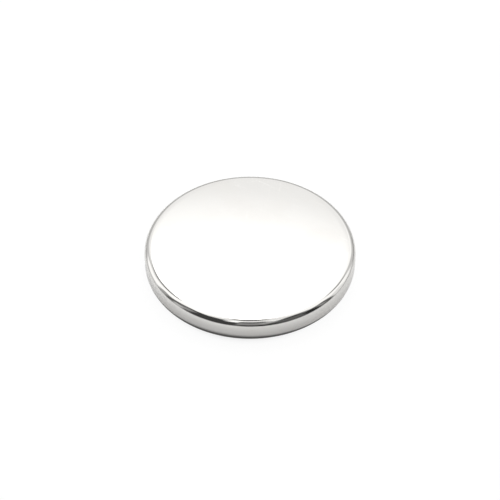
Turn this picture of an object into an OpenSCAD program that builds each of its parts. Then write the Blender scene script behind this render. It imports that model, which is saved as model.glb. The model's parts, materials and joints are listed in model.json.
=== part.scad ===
/* [Disc] */
// Diameter over the plated side wall
disc_d = 25; // [10:0.5:60]
// Thickness from one pole face to the other
disc_t = 3; // [2:0.1:10]

/* [Rounded edges] */
// Radius of the round between the upper pole face and the side wall
upper_edge_r = 0.8; // [0.1:0.05:0.95]
// Radius of the round between the lower pole face and the side wall
lower_edge_r = 0.8; // [0.1:0.05:0.95]

/* [Hidden] */
disc_r = disc_d / 2;
// How far a corner's waste reaches past the square blank
waste_past = 0.2;
// Facets of a full turn when the curves are drawn as a mesh
$fn = 180;

// What the round takes off a square corner that points to +X and +Y
module corner_waste(edge_r) {
    translate([-edge_r, -edge_r])
        difference() {
            square(edge_r + waste_past);
            circle(r = edge_r);
        }
}

// Half of the section through the axis, from the axis out to the side wall
module half_section() {
    difference() {
        square([disc_r, disc_t]);
        translate([disc_r, disc_t])
            corner_waste(upper_edge_r);
        translate([disc_r, 0])
            mirror([0, 1])
                corner_waste(lower_edge_r);
    }
}

// One solid disc lying on its lower pole face, with its axis on +Z
module magnet_disc() {
    color("gainsboro")
        rotate_extrude()
            half_section();
}

magnet_disc();
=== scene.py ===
"""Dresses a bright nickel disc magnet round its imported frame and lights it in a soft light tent.

The disc is one solid of revolution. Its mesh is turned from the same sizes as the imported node, dense enough
for a mirror finish, and is plated with a procedural nickel. The tent round it is what the plating mirrors.
"""

import json
import logging
import math
from dataclasses import dataclass
from enum import Enum

import bpy
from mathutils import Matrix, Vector, noise

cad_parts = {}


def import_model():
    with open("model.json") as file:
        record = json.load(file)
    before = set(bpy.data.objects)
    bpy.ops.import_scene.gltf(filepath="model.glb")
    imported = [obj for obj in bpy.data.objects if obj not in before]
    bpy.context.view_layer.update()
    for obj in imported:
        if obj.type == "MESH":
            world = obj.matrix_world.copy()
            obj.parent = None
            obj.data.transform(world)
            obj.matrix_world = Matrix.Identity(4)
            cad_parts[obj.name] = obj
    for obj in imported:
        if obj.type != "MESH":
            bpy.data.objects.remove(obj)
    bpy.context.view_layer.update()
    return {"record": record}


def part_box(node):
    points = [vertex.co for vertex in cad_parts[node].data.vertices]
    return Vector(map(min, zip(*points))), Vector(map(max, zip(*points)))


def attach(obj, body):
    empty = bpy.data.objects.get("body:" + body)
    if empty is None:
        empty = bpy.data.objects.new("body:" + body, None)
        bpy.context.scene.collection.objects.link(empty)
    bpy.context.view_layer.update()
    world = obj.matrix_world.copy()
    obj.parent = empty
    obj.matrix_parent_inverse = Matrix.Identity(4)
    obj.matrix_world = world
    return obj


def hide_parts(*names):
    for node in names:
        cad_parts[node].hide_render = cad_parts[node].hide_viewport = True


log = logging.getLogger("disc_magnet")

MM = 0.001
FRAME_PIXELS = 500


class Part(Enum):
    """Which stretch of the disc's section a ring of the mesh lies on."""

    POLE_FACE = "pole_face"
    ROUNDED_EDGE = "rounded_edge"
    SIDE_WALL = "side_wall"


class Sees(Enum):
    """Which rays a shader in the studio answers to."""

    CAMERA = "Is Camera Ray"
    GLOSSY = "Is Glossy Ray"


class Sum(Enum):
    """Sums that a shader works out from two values."""

    ADD = "ADD"
    MULTIPLY = "MULTIPLY"
    MAXIMUM = "MAXIMUM"


class Blend(Enum):
    """What a shader blends."""

    NUMBERS = "FLOAT"
    COLOURS = "RGBA"


def smooth_step(low: float, high: float, value: float) -> float:
    """Eases from 0 to 1.

    Args:
        low: Value at which the result leaves 0.
        high: Value at which the result reaches 1.
        value: Value to ease.

    Returns:
        The eased share, from 0 to 1.
    """
    share = min(max((value - low) / (high - low), 0.0), 1.0)
    return share * share * (3.0 - 2.0 * share)


def inside(edge: float, soft: float, value: float) -> float:
    """Tells how far a value lies inside a soft border.

    Args:
        edge: Value at the middle of the border.
        soft: Width of the border.
        value: Value to place.

    Returns:
        Share from 0, past the border, to 1, inside it.
    """
    return 1.0 - smooth_step(edge - soft / 2, edge + soft / 2, value)


def turned_point(radius: float, turn: float, height: float) -> Vector:
    """Places a point of a body of revolution.

    Args:
        radius: Distance from the Z axis.
        turn: Angle about the Z axis in radians, from +X.
        height: Height above the floor.

    Returns:
        The point, in the unit of the radius and the height.
    """
    return Vector((radius * math.cos(turn), radius * math.sin(turn), height))


def band_faces(first: int, second: int, turn_steps: int) -> list[tuple[int, ...]]:
    """Joins two closed rings of points with a band of faces.

    Args:
        first: Index of the first ring's first point.
        second: Index of the second ring's first point.
        turn_steps: Points in each ring.

    Returns:
        The faces of the band.
    """
    faces: list[tuple[int, ...]] = []
    for step in range(turn_steps):
        following = (step + 1) % turn_steps
        faces.append((first + step, second + step, second + following, first + following))
    return faces


class Wiring:
    """Adds nodes to a shader tree and joins them."""

    def __init__(self, tree: bpy.types.NodeTree) -> None:
        """Empties a shader tree.

        Args:
            tree: Tree of the material or world to be wired.
        """
        self.tree = tree
        self.tree.nodes.clear()

    def add(self, kind: str, **settings: object) -> bpy.types.Node:
        """Adds one node.

        Args:
            kind: Type name of the node.
            **settings: Properties of the node, by name.

        Returns:
            The new node.
        """
        node = self.tree.nodes.new(kind)
        for name, value in settings.items():
            setattr(node, name, value)
        return node

    def feed(self, socket: bpy.types.NodeSocket, value: object) -> None:
        """Gives a socket a joined output or a plain value.

        Args:
            socket: Input to be fed.
            value: Output socket, number or tuple.
        """
        if isinstance(value, bpy.types.NodeSocket):
            self.tree.links.new(value, socket)
        else:
            socket.default_value = value

    def sum_of(self, kind: Sum, first: object, second: object) -> bpy.types.NodeSocket:
        """Works out one sum from two values.

        Args:
            kind: Which sum it is.
            first: Output socket or number.
            second: Output socket or number.

        Returns:
            The result's socket.
        """
        node = self.add("ShaderNodeMath", operation=kind.value)
        self.feed(node.inputs[0], first)
        self.feed(node.inputs[1], second)
        return node.outputs[0]

    def blend(self, kind: Blend, share: object, first: object, second: object) -> bpy.types.NodeSocket:
        """Blends two numbers or colours.

        Args:
            kind: Whether it blends numbers or colours.
            share: Output socket or number, 0 for the first and 1 for the second.
            first: Output socket, number or colour.
            second: Output socket, number or colour.

        Returns:
            The result's socket.
        """
        node = self.add("ShaderNodeMix", data_type=kind.value)
        self.feed(node.inputs["Factor"], share)
        self.feed(node.inputs["A"], first)
        self.feed(node.inputs["B"], second)
        return node.outputs["Result"]

    def remap(
        self, value: object, start: tuple[float, float], end: tuple[float, float] = (0.0, 1.0)
    ) -> bpy.types.NodeSocket:
        """Maps one range to another and holds the result at its ends.

        Args:
            value: Output socket with the value.
            start: Range of the value.
            end: Range of the result.

        Returns:
            The result's socket.
        """
        node = self.add("ShaderNodeMapRange", interpolation_type="SMOOTHSTEP")
        for place, number in enumerate((value, *start, *end)):
            self.feed(node.inputs[place], number)
        return node.outputs[0]

    def clouds(self, place: object, size: float, detail: float) -> bpy.types.NodeSocket:
        """Adds a noise of a real size.

        Args:
            place: Output socket with the position in metres.
            size: Size of one cloud in metres.
            detail: How many finer layers the noise has.

        Returns:
            The noise's socket, from 0 to 1.
        """
        node = self.add("ShaderNodeTexNoise")
        self.feed(node.inputs["Vector"], place)
        self.feed(node.inputs["Scale"], 1.0 / size)
        self.feed(node.inputs["Detail"], detail)
        return node.outputs["Fac"]

    def stretched(
        self, place: object, turn: float, stretch: tuple[float, float, float]
    ) -> bpy.types.NodeSocket:
        """Turns and stretches a position, so that a noise on it draws into lines.

        Args:
            place: Output socket with the position.
            turn: Turn about Z in radians.
            stretch: How much longer the noise gets along each axis after the turn.

        Returns:
            The new position's socket.
        """
        node = self.add("ShaderNodeMapping", vector_type="TEXTURE")
        self.feed(node.inputs["Vector"], place)
        self.feed(node.inputs["Rotation"], (0.0, 0.0, turn))
        self.feed(node.inputs["Scale"], stretch)
        return node.outputs[0]

    def distance(self, place: object, centre: tuple[float, float, float]) -> bpy.types.NodeSocket:
        """Measures how far a position lies from a point.

        Args:
            place: Output socket with the position.
            centre: The point.

        Returns:
            The distance's socket.
        """
        node = self.add("ShaderNodeVectorMath", operation="DISTANCE")
        self.feed(node.inputs[0], place)
        self.feed(node.inputs[1], centre)
        return node.outputs["Value"]

    def show(self, shader: bpy.types.NodeSocket, output: str = "ShaderNodeOutputMaterial") -> None:
        """Joins the finished shader to the tree's output.

        Args:
            shader: The shader's socket.
            output: Type name of the output node.
        """
        self.feed(self.add(output).inputs["Surface"], shader)


@dataclass(frozen=True)
class Hairlines:
    """Fine scratches that run one way.

    Attributes:
        turn: Direction of the scratches about Z in radians.
        width: Width of a scratch in metres.
    """

    turn: float
    width: float


@dataclass(frozen=True)
class NickelFinish:
    """Bright nickel plating over a ground and tumbled blank.

    Attributes:
        name: Name of the material.
        colour: Colour of clean plating, linear.
        aged_colour: Colour where the plating has dulled a little.
        aged_share: Share of that colour where the plating is cloudiest.
        shine: Roughness of the clean plating.
        haze: Roughness added where the plating is cloudy.
        scratch: Roughness added in a hairline scratch.
        edge_haze: Roughness added on the tumbled edges.
        cloud_size: Size of a cloudy patch in metres.
        cloud_detail: Finer layers in the clouds.
        cloud_levels: Noise at which a cloud begins and at which it is full.
        peel_size: Size of one ripple of the plating in metres.
        peel_detail: Finer layers in the ripples.
        peel_depth: Depth of a ripple in metres.
        hairlines: The scratches, one set for each way that they run.
        hairline_stretch: How many times longer than wide a scratch is.
        hairline_detail: Finer layers in the scratches.
        hairline_levels: Noise at which a scratch begins and at which it is full.
        scratch_depth: Depth of a hairline scratch in metres.
        patch_size: Size of a patch in which scratches gather, in metres.
        patch_detail: Finer layers in the patches.
        patch_levels: Noise at which a patch begins and at which it is full.
    """

    name: str = "nickel_plating"
    colour: tuple[float, float, float, float] = (0.745, 0.735, 0.715, 1.0)
    aged_colour: tuple[float, float, float, float] = (0.70, 0.685, 0.66, 1.0)
    aged_share: float = 0.5
    shine: float = 0.06
    haze: float = 0.03
    scratch: float = 0.08
    edge_haze: float = 0.02
    cloud_size: float = 4.0 * MM
    cloud_detail: float = 4.0
    cloud_levels: tuple[float, float] = (0.40, 0.70)
    peel_size: float = 0.45 * MM
    peel_detail: float = 2.0
    peel_depth: float = 0.0002 * MM
    hairlines: tuple[Hairlines, ...] = (
        Hairlines(0.35, 0.10 * MM),
        Hairlines(1.45, 0.13 * MM),
        Hairlines(2.60, 0.09 * MM),
    )
    hairline_stretch: float = 60.0
    hairline_detail: float = 1.0
    hairline_levels: tuple[float, float] = (0.70, 0.76)
    scratch_depth: float = 0.0004 * MM
    patch_size: float = 8.0 * MM
    patch_detail: float = 2.0
    patch_levels: tuple[float, float] = (0.45, 0.62)

    def scratches(self, wires: Wiring, place: bpy.types.NodeSocket) -> bpy.types.NodeSocket:
        """Draws sparse hairline scratches, which gather in patches.

        Args:
            wires: Tree of the material.
            place: Position on the disc in metres.

        Returns:
            The scratches' socket, 1 in a scratch and 0 beside it.
        """
        lines: object = 0.0
        for one_way in self.hairlines:
            drawn = wires.stretched(place, one_way.turn, (self.hairline_stretch, 1.0, 1.0))
            noisy = wires.clouds(drawn, one_way.width, self.hairline_detail)
            lines = wires.sum_of(Sum.MAXIMUM, lines, wires.remap(noisy, self.hairline_levels))
        patchy = wires.clouds(place, self.patch_size, self.patch_detail)
        return wires.sum_of(Sum.MULTIPLY, lines, wires.remap(patchy, self.patch_levels))

    def roughness(
        self, wires: Wiring, cloudy: bpy.types.NodeSocket, scratched: bpy.types.NodeSocket
    ) -> bpy.types.NodeSocket:
        """Adds up what makes the plating less than a clean mirror.

        Args:
            wires: Tree of the material.
            cloudy: Socket that is 1 where the plating is cloudiest.
            scratched: Socket that is 1 in a scratch.

        Returns:
            The roughness's socket.
        """
        edge = wires.add("ShaderNodeAttribute", attribute_name=Part.ROUNDED_EDGE.value).outputs["Fac"]
        rough: object = self.shine
        for share, added in ((cloudy, self.haze), (edge, self.edge_haze), (scratched, self.scratch)):
            rough = wires.sum_of(Sum.ADD, rough, wires.sum_of(Sum.MULTIPLY, share, added))
        return rough

    def relief(
        self, wires: Wiring, place: bpy.types.NodeSocket, scratched: bpy.types.NodeSocket
    ) -> bpy.types.NodeSocket:
        """Raises the plating's fine ripples and sinks its scratches.

        Args:
            wires: Tree of the material.
            place: Position on the disc in metres.
            scratched: Socket that is 1 in a scratch.

        Returns:
            The socket of the surface's direction.
        """
        peel = wires.add("ShaderNodeBump")
        wires.feed(peel.inputs["Height"], wires.clouds(place, self.peel_size, self.peel_detail))
        wires.feed(peel.inputs["Distance"], self.peel_depth)
        groove = wires.add("ShaderNodeBump", invert=True)
        wires.feed(groove.inputs["Height"], scratched)
        wires.feed(groove.inputs["Distance"], self.scratch_depth)
        wires.feed(groove.inputs["Normal"], peel.outputs["Normal"])
        return groove.outputs["Normal"]

    def material(self) -> bpy.types.Material:
        """Builds the plating.

        Returns:
            The finished material.
        """
        made = bpy.data.materials.new(self.name)
        made.use_nodes = True
        wires = Wiring(made.node_tree)
        place = wires.add("ShaderNodeTexCoord").outputs["Object"]
        clouds = wires.clouds(place, self.cloud_size, self.cloud_detail)
        cloudy = wires.remap(clouds, self.cloud_levels)
        aged = wires.sum_of(Sum.MULTIPLY, cloudy, self.aged_share)
        scratched = self.scratches(wires, place)

        metal = wires.add("ShaderNodeBsdfPrincipled")
        tint = wires.blend(Blend.COLOURS, aged, self.colour, self.aged_colour)
        wires.feed(metal.inputs["Base Color"], tint)
        wires.feed(metal.inputs["Metallic"], 1.0)
        wires.feed(metal.inputs["Roughness"], self.roughness(wires, cloudy, scratched))
        wires.feed(metal.inputs["Normal"], self.relief(wires, place, scratched))
        wires.show(metal.outputs["BSDF"])
        return made


@dataclass
class Ring:
    """One turn of points round the disc's axis.

    Attributes:
        radius: Distance from the axis in metres.
        height: Height above the lower pole face in metres.
        part: Stretch of the section that the ring lies on.
        share: How far round its stretch the ring lies, from 0 to 1.
    """

    radius: float
    height: float
    part: Part
    share: float


@dataclass
class MagnetDisc:
    """The plated disc, turned as one closed body.

    Attributes:
        radius: Radius over the side wall in metres.
        thickness: Distance between the pole faces in metres.
        edge_r: Radius of the round at both edges in metres.
        node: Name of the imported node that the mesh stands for.
        wall_mount: Name of the mount that gives the side wall's size.
        turn_steps: Points in one turn.
        face_steps: Rings across a pole face.
        edge_steps: Rings round an edge.
        wall_steps: Rings up the straight wall.
        roll_off: How far a pole face falls towards its edge in metres.
        roll_power: How late that fall sets in.
        ripple: Height of the plating's long ripples in metres.
        ripple_size: Length of those ripples in metres.
        ripple_from: Share of the radius from which the ripples also draw the surface towards the axis.
    """

    radius: float
    thickness: float
    edge_r: float
    node: str = "magnet_disc"
    wall_mount: str = "side_wall"
    turn_steps: int = 720
    face_steps: int = 24
    edge_steps: int = 24
    wall_steps: int = 6
    roll_off: float = 0.003 * MM
    roll_power: float = 10.0
    ripple: float = 0.0008 * MM
    ripple_size: float = 5.0 * MM
    ripple_from: float = 0.9

    @classmethod
    def from_frame(cls, record: dict) -> "MagnetDisc":
        """Takes the disc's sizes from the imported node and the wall's mount.

        Args:
            record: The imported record.

        Returns:
            The disc at its packed size.
        """
        low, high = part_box("magnet_disc")
        wall = next(mount["dims"] for mount in record["mounts"] if mount["name"] == cls.wall_mount)
        thickness = high.z - low.z
        return cls(
            radius=wall["r_mm"] * MM,
            thickness=thickness,
            edge_r=(thickness - wall["length_mm"] * MM) / 2,
        )

    def half_rings(self) -> list[Ring]:
        """Lists the rings of the upper half.

        Returns:
            Rings from the middle of the upper pole face to the middle of the wall.
        """
        flat_r = self.radius - self.edge_r
        edge_z = self.thickness - self.edge_r
        middle = self.thickness / 2
        rings = [
            Ring(flat_r * step / self.face_steps, self.thickness, Part.POLE_FACE, step / self.face_steps)
            for step in range(1, self.face_steps)
        ]
        for step in range(self.edge_steps + 1):
            share = step / self.edge_steps
            tilt = share * math.pi / 2
            radius = flat_r + self.edge_r * math.sin(tilt)
            height = edge_z + self.edge_r * math.cos(tilt)
            rings.append(Ring(radius, height, Part.ROUNDED_EDGE, share))
        for step in range(1, self.wall_steps):
            share = step / self.wall_steps
            rings.append(Ring(self.radius, edge_z + (middle - edge_z) * share, Part.SIDE_WALL, share))
        return rings

    def rings(self) -> list[Ring]:
        """Lists the whole section's rings.

        Returns:
            Rings from the middle of the upper pole face round to the middle of the lower one.
        """
        upper = self.half_rings()
        middle = [Ring(self.radius, self.thickness / 2, Part.SIDE_WALL, 1.0)]
        lower = [
            Ring(ring.radius, self.thickness - ring.height, ring.part, ring.share)
            for ring in reversed(upper)
        ]
        return upper + middle + lower

    def settled(self, point: Vector) -> Vector:
        """Gives a point of the ideal disc the slight form that grinding and plating leave.

        Args:
            point: Point on the ideal disc.

        Returns:
            The point moved inward by the roll-off and the ripples.
        """
        middle = self.thickness / 2
        reach = point.xy.length / self.radius
        side = (point.z - middle) / middle
        swell = 0.5 + 0.5 * noise.noise(point / self.ripple_size)
        fall = self.roll_off * reach**self.roll_power + self.ripple * swell
        inward = self.ripple * swell * smooth_step(self.ripple_from, 1.0, reach)
        return Vector((
            point.x * (1.0 - inward / self.radius),
            point.y * (1.0 - inward / self.radius),
            point.z - side * fall,
        ))

    def skin(self, ring_count: int) -> list[tuple[int, ...]]:
        """Joins the rings and the middles of both pole faces into a closed skin.

        Args:
            ring_count: Rings from the upper pole face round to the lower one.

        Returns:
            The faces, by the places of their points in the mesh.
        """
        turns = self.turn_steps
        starts = [1 + index * turns for index in range(ring_count)]
        last = 1 + ring_count * turns
        faces: list[tuple[int, ...]] = [(0, 1 + step, 1 + (step + 1) % turns) for step in range(turns)]
        for start, following in zip(starts, starts[1:]):
            faces.extend(band_faces(start, following, turns))
        faces.extend((starts[-1] + (step + 1) % turns, starts[-1] + step, last) for step in range(turns))
        return faces

    def mesh(self) -> bpy.types.Mesh:
        """Turns the section into a closed, evenly spaced mesh.

        Returns:
            The disc's mesh, with the edge wear as a point attribute.
        """
        rings = self.rings()
        points = [self.settled(Vector((0.0, 0.0, self.thickness)))]
        wear = [0.0]
        for ring in rings:
            worn = math.sin(ring.share * math.pi) if ring.part is Part.ROUNDED_EDGE else 0.0
            for step in range(self.turn_steps):
                turn = 2.0 * math.pi * step / self.turn_steps
                points.append(self.settled(turned_point(ring.radius, turn, ring.height)))
                wear.append(worn)
        points.append(Vector((0.0, 0.0, 0.0)))
        wear.append(0.0)

        made = bpy.data.meshes.new(self.node)
        made.from_pydata(points, [], self.skin(len(rings)))
        made.shade_smooth()
        layer = made.attributes.new(Part.ROUNDED_EDGE.value, "FLOAT", "POINT")
        layer.data.foreach_set("value", wear)
        made.update()
        return made

    def build(self, finish: NickelFinish) -> bpy.types.Object:
        """Makes the disc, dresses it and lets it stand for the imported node.

        Args:
            finish: Plating of the disc.

        Returns:
            The disc's object.
        """
        piece = bpy.data.objects.new("plated_disc", self.mesh())
        bpy.context.scene.collection.objects.link(piece)
        piece.data.materials.append(finish.material())
        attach(piece, "root")
        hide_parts(self.node)
        return piece


def tent_direction(azimuth: float, elevation: float) -> Vector:
    """Points from the disc to a place on the tent.

    Args:
        azimuth: Azimuth in degrees, 0 behind the disc and positive to the right.
        elevation: Elevation in degrees above the floor.

    Returns:
        The direction, of length 1.
    """
    rise = math.radians(elevation)
    return turned_point(math.cos(rise), math.radians(90.0 - azimuth), math.sin(rise))


@dataclass(frozen=True)
class TentZone:
    """A soft-edged stretch of the tent's cloth, a lamp behind it or an opening in it.

    Attributes:
        name: What the zone is.
        azimuth: Middle of the zone in degrees, 0 behind the disc and positive to the right.
        elevation: Middle of the zone in degrees above the floor.
        half_width: Half of its width in degrees of azimuth.
        half_height: Half of its height in degrees of elevation.
        glow: How bright it is, where 1 is white.
        soft: Width of its soft border in degrees.
    """

    name: str
    azimuth: float
    elevation: float
    half_width: float
    half_height: float
    glow: float
    soft: float

    def cover(self, azimuth: float, elevation: float) -> float:
        """Tells how much of a direction the zone covers.

        Args:
            azimuth: Azimuth in degrees.
            elevation: Elevation in degrees.

        Returns:
            Share from 0, outside, to 1, inside.
        """
        across = abs((azimuth - self.azimuth + 180.0) % 360.0 - 180.0)
        up = abs(elevation - self.elevation)
        return inside(self.half_width, self.soft, across) * inside(self.half_height, self.soft, up)


@dataclass(frozen=True)
class TentSpot:
    """A round, soft-edged spot in the tent, such as a lamp behind its cloth.

    Attributes:
        name: What the spot is.
        azimuth: Middle of the spot in degrees, 0 behind the disc and positive to the right.
        elevation: Middle of the spot in degrees above the floor.
        reach: Its radius in degrees, seen from the disc.
        glow: How bright it is, where 1 is white.
        soft: Width of its soft border in degrees.
    """

    name: str
    azimuth: float
    elevation: float
    reach: float
    glow: float
    soft: float

    def cover(self, azimuth: float, elevation: float) -> float:
        """Tells how much of a direction the spot covers.

        Args:
            azimuth: Azimuth in degrees.
            elevation: Elevation in degrees.

        Returns:
            Share from 0, outside, to 1, inside.
        """
        away = tent_direction(azimuth, elevation).angle(tent_direction(self.azimuth, self.elevation))
        return inside(self.reach, self.soft, math.degrees(away))


# Azimuth, elevation, half width and half height of a zone, or reach of a spot, then glow and soft border
TENT_ZONES = (
    TentZone("back_cloth", 0.0, 0.0, 60.0, 46.0, 1.12, 4.0),
    TentZone("back_foot", 0.0, 0.0, 60.0, 26.0, 0.62, 16.0),
    TentZone("left_cloth", -70.0, 44.0, 22.0, 32.0, 1.35, 8.0),
    TentZone("right_cloth", 78.0, 48.0, 20.0, 30.0, 1.32, 8.0),
    TentZone("front_roof", 180.0, 75.0, 75.0, 12.0, 0.95, 8.0),
    TentSpot("lamp_halo", -3.6, 62.0, 19.4, 1.33, 1.5),
    TentSpot("overhead_lamp", -3.6, 62.0, 15.45, 2.60, 7.0),
    TentZone("left_corner_foot", -50.0, 5.0, 5.0, 14.0, 0.62, 6.0),
    TentZone("left_corner", -43.0, 30.0, 6.0, 14.0, 0.72, 6.0),
    TentZone("right_back_light", 29.0, 43.0, 13.0, 8.0, 1.35, 8.0),
    TentZone("left_cloth_fold", -54.0, 44.0, 8.0, 8.0, 1.00, 6.0),
    TentZone("left_lamp_frame", -38.0, 51.0, 14.0, 6.5, 0.42, 4.0),
    TentZone("left_lamp_corner", -30.0, 55.8, 13.0, 4.0, 0.25, 2.0),
    TentZone("right_corner_foot", 50.0, 2.0, 9.0, 12.0, 0.44, 6.0),
    TentZone("right_corner", 53.0, 28.0, 9.5, 18.0, 0.74, 6.0),
    TentZone("right_cloth_foot", 87.0, 20.0, 8.0, 12.0, 0.98, 6.0),
    TentZone("right_lamp_frame", 56.0, 50.0, 10.0, 7.0, 0.37, 4.0),
    TentZone("top_seam", 0.0, 74.8, 42.0, 1.5, 0.80, 1.5),
    TentZone("left_top_seam", -26.0, 73.5, 10.0, 3.0, 0.85, 3.0),
    TentZone("right_top_seam", 28.0, 74.5, 10.0, 3.0, 0.90, 3.0),
    TentSpot("top_hole", 0.0, 78.6, 6.6, 0.02, 2.5),
    TentSpot("top_hole_back", 0.0, 85.4, 6.6, 0.02, 2.5),
    TentZone("left_opening_edge", -92.0, 10.0, 8.0, 25.0, 0.45, 5.0),
    TentZone("left_opening", -127.0, 20.0, 32.0, 40.0, 0.15, 5.0),
    TentZone("middle_opening", -175.0, 20.0, 35.0, 37.0, 0.30, 5.0),
    TentZone("right_opening", 129.0, 14.0, 33.0, 29.0, 0.11, 5.0),
    TentZone("right_high_opening", 136.0, 35.0, 15.0, 21.0, 0.14, 5.0),
    TentZone("right_opening_edge", 107.5, 24.0, 3.5, 14.0, 0.36, 4.0),
    TentZone("middle_light", 160.0, 42.0, 8.0, 6.5, 0.62, 7.0),
    TentZone("left_lintel", -133.0, 55.0, 27.0, 7.0, 0.05, 4.0),
    TentZone("right_lintel_end", 122.0, 52.5, 12.0, 9.0, 0.24, 9.0),
    TentZone("right_lintel", 136.0, 50.0, 14.0, 7.0, 0.05, 4.0),
    TentZone("threshold", 180.0, 7.0, 36.0, 9.5, 0.02, 3.0),
    TentZone("threshold_gap", -167.0, 1.0, 5.0, 4.0, 0.50, 4.0),
    TentZone("right_step", 146.0, 8.0, 10.0, 8.0, 0.12, 12.0),
    TentZone("left_dark", -144.75, 34.0, 22.25, 32.0, 0.06, 5.0),
    TentZone("right_dark", 120.5, 18.0, 6.5, 22.0, 0.03, 5.0),
    TentZone("left_room_light", -115.0, 32.0, 6.0, 14.0, 0.36, 6.0),
    TentZone("left_door_light", -110.0, 11.0, 5.5, 14.0, 0.60, 5.0),
    TentZone("camera_arm", 180.0, 76.0, 24.0, 13.0, 1.00, 6.0),
    TentZone("camera_body", 177.0, 57.8, 18.0, 6.9, 0.03, 4.0),
    TentZone("left_gap", -157.5, 65.0, 8.0, 12.5, 1.50, 3.0),
    TentZone("right_gap", 148.0, 61.0, 6.0, 10.0, 1.30, 3.0),
)


@dataclass
class LightTent:
    """The tent of white cloth round the disc, which lights it and which its plating mirrors.

    Attributes:
        radius: Radius of the tent in metres.
        turn_steps: Columns of cloth in a full turn.
        rise_steps: Rows of cloth from the floor to the top.
        glow: How bright the cloth is where no zone changes it.
        foot_glow: How bright its foot is.
        foot_rise: Height in degrees at which the foot's shade has gone.
        zones: The zones and spots, painted in this order.
    """

    radius: float = 0.30
    turn_steps: int = 240
    rise_steps: int = 150
    glow: float = 1.25
    foot_glow: float = 0.90
    foot_rise: float = 20.0
    zones: tuple[TentZone | TentSpot, ...] = TENT_ZONES

    def glow_at(self, azimuth: float, elevation: float) -> float:
        """Tells how bright the tent is in one direction.

        Args:
            azimuth: Azimuth in degrees, 0 behind the disc and positive to the right.
            elevation: Elevation in degrees.

        Returns:
            Brightness, where 1 is white.
        """
        foot = 1.0 - smooth_step(0.0, self.foot_rise, elevation)
        bright = self.glow + (self.foot_glow - self.glow) * foot
        for zone in self.zones:
            bright += (zone.glow - bright) * zone.cover(azimuth, elevation)
        return bright

    def material(self) -> bpy.types.Material:
        """Builds the cloth's glow from the brightness kept in the mesh.

        Returns:
            The finished material.
        """
        made = bpy.data.materials.new("tent_cloth")
        made.use_nodes = True
        made.cycles.emission_sampling = "NONE"
        wires = Wiring(made.node_tree)
        bright = wires.add("ShaderNodeAttribute", attribute_name="glow").outputs["Fac"]
        light = wires.add("ShaderNodeEmission")
        wires.feed(light.inputs["Strength"], bright)
        wires.show(light.outputs[0])
        return made

    def build(self) -> bpy.types.Object:
        """Makes the tent as a half globe that only reflections and light see.

        Returns:
            The tent's object.
        """
        points: list[Vector] = []
        glows: list[float] = []
        for row in range(self.rise_steps + 1):
            elevation = 90.0 * row / self.rise_steps
            for column in range(self.turn_steps):
                azimuth = 360.0 * column / self.turn_steps
                points.append(tent_direction(azimuth, elevation) * self.radius)
                glows.append(self.glow_at(azimuth, elevation))
        faces: list[tuple[int, ...]] = []
        for row in range(self.rise_steps):
            start = row * self.turn_steps
            faces.extend(band_faces(start, start + self.turn_steps, self.turn_steps))
        cloth = bpy.data.meshes.new("light_tent")
        cloth.from_pydata(points, [], faces)
        layer = cloth.attributes.new("glow", "FLOAT", "POINT")
        layer.data.foreach_set("value", glows)
        cloth.materials.append(self.material())
        tent = bpy.data.objects.new("light_tent", cloth)
        bpy.context.scene.collection.objects.link(tent)
        tent.visible_camera = False
        return tent


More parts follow.
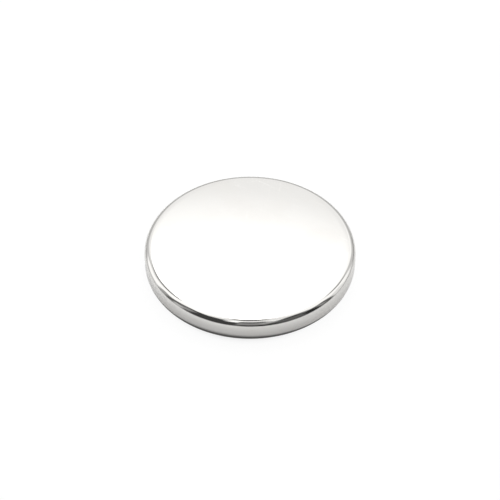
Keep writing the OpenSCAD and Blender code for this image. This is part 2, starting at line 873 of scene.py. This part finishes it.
@dataclass
class Table:
    """The plain white table top that the disc lies on.

    Attributes:
        disc_radius: Radius of the disc that lies on it in metres.
        reach: Half of the table's width in metres.
        white: How white the table top is, linear.
        shade: Share of that white that is left in the painted shade at the disc's foot.
        shade_shift: How far forward the painted shade is moved, as if the lamp behind threw it, in metres.
        shade_aside: How far to the left the painted shade is moved, in metres.
        shade_widen: How much wider than deep the painted shade is.
        shade_from: How far past the foot the painted shade in front stays full, in metres.
        shade_to: How far past the foot it has gone, in metres.
        shade_veil: Share of white that is left at the start of the soft painted shade round the full shade.
        shade_veil_to: How far past the foot that soft painted shade has gone, in metres.
        camera_cut: How much less of the painted shade the camera sees, in metres.
        far_from: Distance from the side wall at which the painted falloff starts to darken the mirrored
            table, in metres.
        far_to: Distance at which it is darkest, in metres.
        far_share: Share of its white that is left there.
        far_aside: How far to the left of the disc's axis that painted darkening is centred, in metres.
        camera_dim: Share of the table's own light that the camera doesn't see.
        camera_lift: White that the camera sees besides, where 1 is white.
        mirror_lift: White that the plating mirrors besides, where 1 is white.
    """

    disc_radius: float
    reach: float = 3.0
    white: float = 0.93
    shade: float = 0.24
    shade_shift: float = 2.06 * MM
    shade_aside: float = 0.18 * MM
    shade_widen: float = 1.03
    shade_from: float = 0.56 * MM
    shade_to: float = 1.04 * MM
    shade_veil: float = 0.84
    shade_veil_to: float = 2.2 * MM
    camera_cut: float = 1.75 * MM
    far_from: float = 2.0 * MM
    far_to: float = 52.0 * MM
    far_share: float = 0.30
    far_aside: float = 2.5 * MM
    camera_dim: float = 0.87
    camera_lift: float = 0.92
    mirror_lift: float = 0.17

    def shade_share(
        self, wires: Wiring, place: bpy.types.NodeSocket, camera: bpy.types.NodeSocket
    ) -> bpy.types.NodeSocket:
        """Paints a shade at the disc's foot into the table's white, shifted forward as if the lamp behind
        threw it.

        Args:
            wires: Tree of the material.
            place: Position on the table in metres.
            camera: Socket that is 1 for a ray from the camera.

        Returns:
            The socket of the share of white that the shade leaves.
        """
        widened = wires.stretched(place, 0.0, (self.shade_widen, 1.0, 1.0))
        away = wires.distance(widened, (-self.shade_aside, -self.shade_shift, 0.0))
        past = wires.sum_of(Sum.ADD, away, wires.sum_of(Sum.MULTIPLY, camera, self.camera_cut))
        foot = self.disc_radius - self.shade_shift
        # painted shade: the table's white is darkened round the disc's foot in the colour itself
        shade = wires.remap(past, (foot + self.shade_from, foot + self.shade_to), (self.shade, 1.0))
        shade_veil = wires.remap(past, (foot + self.shade_from, foot + self.shade_veil_to), (self.shade_veil, 1.0))
        return wires.sum_of(Sum.MULTIPLY, shade, shade_veil)

    def painted_light_falloff(self, wires: Wiring, place: bpy.types.NodeSocket) -> bpy.types.NodeSocket:
        """Paints a falloff of light into the table's white, darker with the distance from the disc, as if the
        lamp left it.

        Args:
            wires: Tree of the material.
            place: Position on the table in metres.

        Returns:
            The socket of the share of white that is left.
        """
        away = wires.distance(place, (-self.far_aside, 0.0, 0.0))
        fade = (self.disc_radius + self.far_from, self.disc_radius + self.far_to)
        return wires.remap(away, fade, (1.0, self.far_share))

    def material(self) -> bpy.types.Material:
        """Builds a matt white that is seen as the white background, with the disc's faint real shadow, a
        painted shade at its foot and a painted falloff of light away from it.

        Returns:
            The finished material.
        """
        made = bpy.data.materials.new("table_white")
        made.use_nodes = True
        made.cycles.emission_sampling = "NONE"
        wires = Wiring(made.node_tree)
        rays = wires.add("ShaderNodeLightPath")
        camera = rays.outputs[Sees.CAMERA.value]
        place = wires.add("ShaderNodeTexCoord").outputs["Object"]
        shade = self.shade_share(wires, place, camera)
        # the painted shade and the painted falloff of light, which the plating mirrors
        mirrored = wires.sum_of(Sum.MULTIPLY, shade, self.painted_light_falloff(wires, place))

        own = wires.sum_of(Sum.MULTIPLY, mirrored, self.white)
        seen = wires.sum_of(Sum.MULTIPLY, shade, self.white * (1.0 - self.camera_dim))
        matt = wires.add("ShaderNodeBsdfDiffuse")
        wires.feed(matt.inputs["Color"], wires.blend(Blend.NUMBERS, camera, own, seen))

        to_plating = wires.sum_of(Sum.MULTIPLY, rays.outputs[Sees.GLOSSY.value], self.mirror_lift)
        mirror_lift = wires.sum_of(Sum.MULTIPLY, mirrored, to_plating)
        camera_lift = wires.sum_of(Sum.MULTIPLY, shade, self.camera_lift)
        lift = wires.add("ShaderNodeEmission")
        wires.feed(lift.inputs["Strength"], wires.blend(Blend.NUMBERS, camera, mirror_lift, camera_lift))

        both = wires.add("ShaderNodeAddShader")
        wires.feed(both.inputs[0], matt.outputs[0])
        wires.feed(both.inputs[1], lift.outputs[0])
        wires.show(both.outputs[0])
        return made

    def build(self) -> bpy.types.Object:
        """Makes the table top at the height of the lower pole face.

        Returns:
            The table's object.
        """
        corners = [
            Vector((x * self.reach, y * self.reach, 0.0))
            for x, y in ((-1, -1), (1, -1), (1, 1), (-1, 1))
        ]
        sheet = bpy.data.meshes.new("table_top")
        sheet.from_pydata(corners, [], [(0, 1, 2, 3)])
        sheet.materials.append(self.material())
        top = bpy.data.objects.new("table_top", sheet)
        bpy.context.scene.collection.objects.link(top)
        return top


@dataclass
class ProductCamera:
    """The camera at the photograph's place.

    Attributes:
        distance: Distance to the disc's middle in metres.
        elevation: Height above the floor in degrees.
        pixels_a_radian: Focal length in pixels of the square picture.
        below_middle: How far below the picture's middle the disc's middle lies, in pixels.
        sensor: Width of the sensor in millimetres.
        nearest: Nearest distance that the camera shows in metres.
        farthest: Farthest distance that it shows in metres.
    """

    distance: float = 0.175
    elevation: float = 45.25
    pixels_a_radian: float = 1471.7
    below_middle: float = 4.11
    sensor: float = 36.0
    nearest: float = 0.01
    farthest: float = 10.0

    def build(self, middle: Vector) -> bpy.types.Object:
        """Aims the camera at the disc and makes it the scene's own.

        Args:
            middle: Middle of the disc.

        Returns:
            The camera's object.
        """
        rise = math.radians(self.elevation)
        back = Vector((0.0, -math.cos(rise), math.sin(rise)))
        up = Vector((0.0, math.sin(rise), math.cos(rise)))
        data = bpy.data.cameras.new("product_camera")
        data.sensor_width = self.sensor
        data.lens = self.pixels_a_radian * self.sensor / FRAME_PIXELS
        data.clip_start = self.nearest
        data.clip_end = self.farthest
        camera = bpy.data.objects.new("product_camera", data)
        bpy.context.scene.collection.objects.link(camera)
        lift = up * (self.below_middle * self.distance / self.pixels_a_radian)
        camera.location = middle + lift + back * self.distance
        camera.rotation_mode = "QUATERNION"
        camera.rotation_quaternion = (-back).to_track_quat("-Z", "Y")
        bpy.context.scene.camera = camera
        return camera


def white_world() -> bpy.types.World:
    """Makes a plain white world for every kind of ray.

    Returns:
        The scene's world.
    """
    world = bpy.data.worlds.new("white_world")
    world.use_nodes = True
    wires = Wiring(world.node_tree)
    sky = wires.add("ShaderNodeBackground")
    wires.feed(sky.inputs["Color"], (1.0, 1.0, 1.0, 1.0))
    wires.feed(sky.inputs["Strength"], 1.0)
    wires.show(sky.outputs[0], "ShaderNodeOutputWorld")
    bpy.context.scene.world = world
    return world


def main() -> None:
    """Builds the camera, the studio and the disc."""
    logging.basicConfig(level=logging.INFO, format="%(name)s: %(message)s")
    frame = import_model()
    bpy.context.scene.view_settings.view_transform = "Standard"

    disc = MagnetDisc.from_frame(frame["record"])
    ProductCamera().build(Vector((0.0, 0.0, disc.thickness / 2)))
    white_world()
    tent = LightTent()
    log.info("the tent's zones: %s", ", ".join(zone.name for zone in tent.zones))
    for part in (tent.build(), Table(disc.radius).build()):
        log.info("studio: %s with %d faces", part.name, len(part.data.polygons))
    piece = disc.build(NickelFinish())
    log.info(
        "%s: %.1f x %.1f mm, edges rounded to %.2f mm, %d faces",
        piece.name, 2 * disc.radius / MM, disc.thickness / MM, disc.edge_r / MM, len(piece.data.polygons),
    )


if __name__ == "__main__":
    main()
